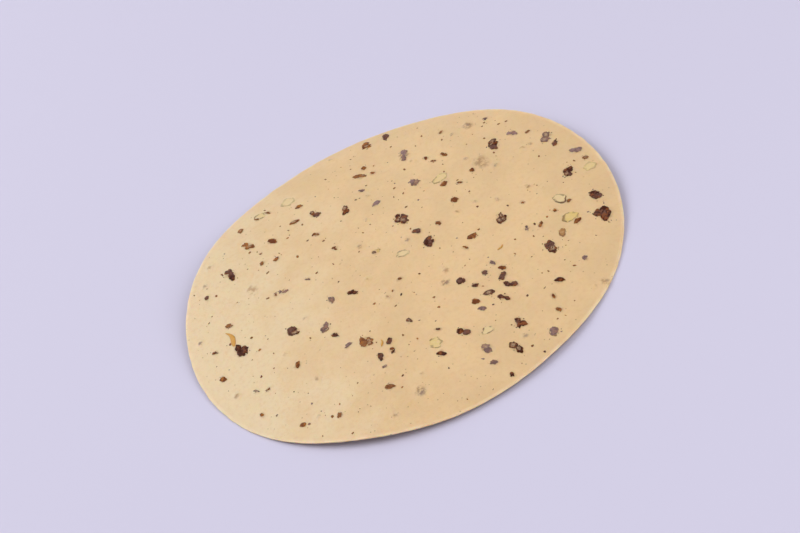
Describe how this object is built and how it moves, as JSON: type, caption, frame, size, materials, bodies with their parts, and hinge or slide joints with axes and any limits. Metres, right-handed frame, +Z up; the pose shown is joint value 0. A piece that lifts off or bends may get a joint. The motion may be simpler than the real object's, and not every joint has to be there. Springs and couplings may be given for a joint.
{
  "type": "black pepper rice papadum",
  "caption": "Raw rice papadum: a thin round sheet of dried dough, gently arched with a wavy rim, cracked black pepper pressed in all over both faces.",
  "frame": {"origin": "centre of the papadum's outline, on the surface that it rests on", "axes": "+Z up, out of the arched face that the picture shows; +Y away from the viewer, +X to the right"},
  "size_m": [0.1655, 0.1646, 0.0094],
  "materials": {
    "rice_dough": "satin",
    "black_pepper": "matte",
    "grey_pepper": "matte",
    "brown_pepper": "matte",
    "pepper_husk": "matte"
  },
  "bodies": {
    "root": {"papadum": "rice_dough"}
  },
  "joints": []
}
